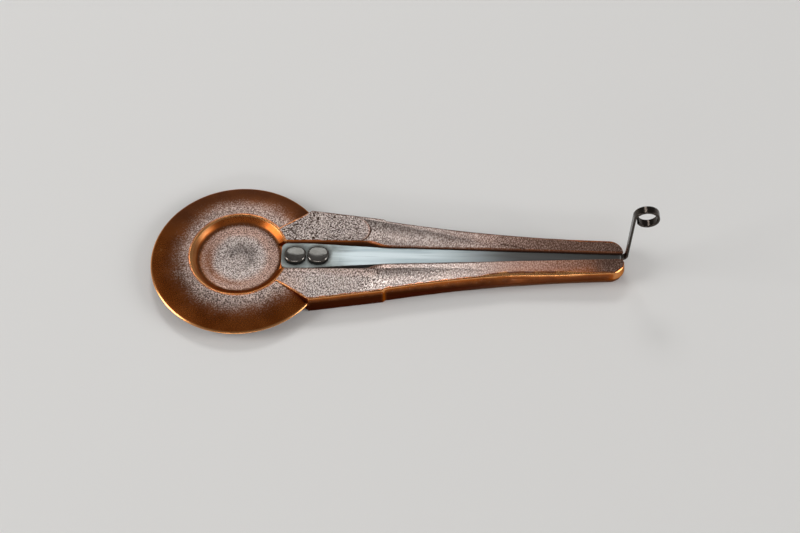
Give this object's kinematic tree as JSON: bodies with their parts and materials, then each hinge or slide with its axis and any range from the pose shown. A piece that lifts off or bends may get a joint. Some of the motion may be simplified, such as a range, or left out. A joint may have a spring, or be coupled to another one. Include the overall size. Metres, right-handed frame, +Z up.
{
  "type": "jaw harp",
  "caption": "Cast bronze jaw harp: round dished grip disc, shoulder block and tapering arms, with a riveted spring-steel reed that ends in an upright curled trigger.",
  "frame": {"origin": "centre of the grip disc, on the flat underside", "axes": "+X along the reed towards the trigger, +Y across the arms, +Z up through the disc towards the side that carries the reed"},
  "size_m": [0.1053, 0.0376, 0.0204],
  "materials": {
    "cast_bronze": "dark patina, polished to copper at the edges",
    "spring_steel": "brushed along its length",
    "rivet_steel": "hammered, dull"
  },
  "bodies": {
    "frame": {"frame": "cast_bronze", "reed_heel": "spring_steel", "rivet_rear": "rivet_steel", "rivet_front": "rivet_steel"},
    "tongue": {"reed_tongue": "spring_steel"}
  },
  "joints": [
    {"name": "reed_pluck", "type": "hinge", "parent": "frame", "child": "tongue", "pos_m": [0.021, 0, 0.00345], "axis": [0, 1, 0], "range_deg": [-8, 8], "stiffness_Nm_per_rad": 0.45}
  ]
}
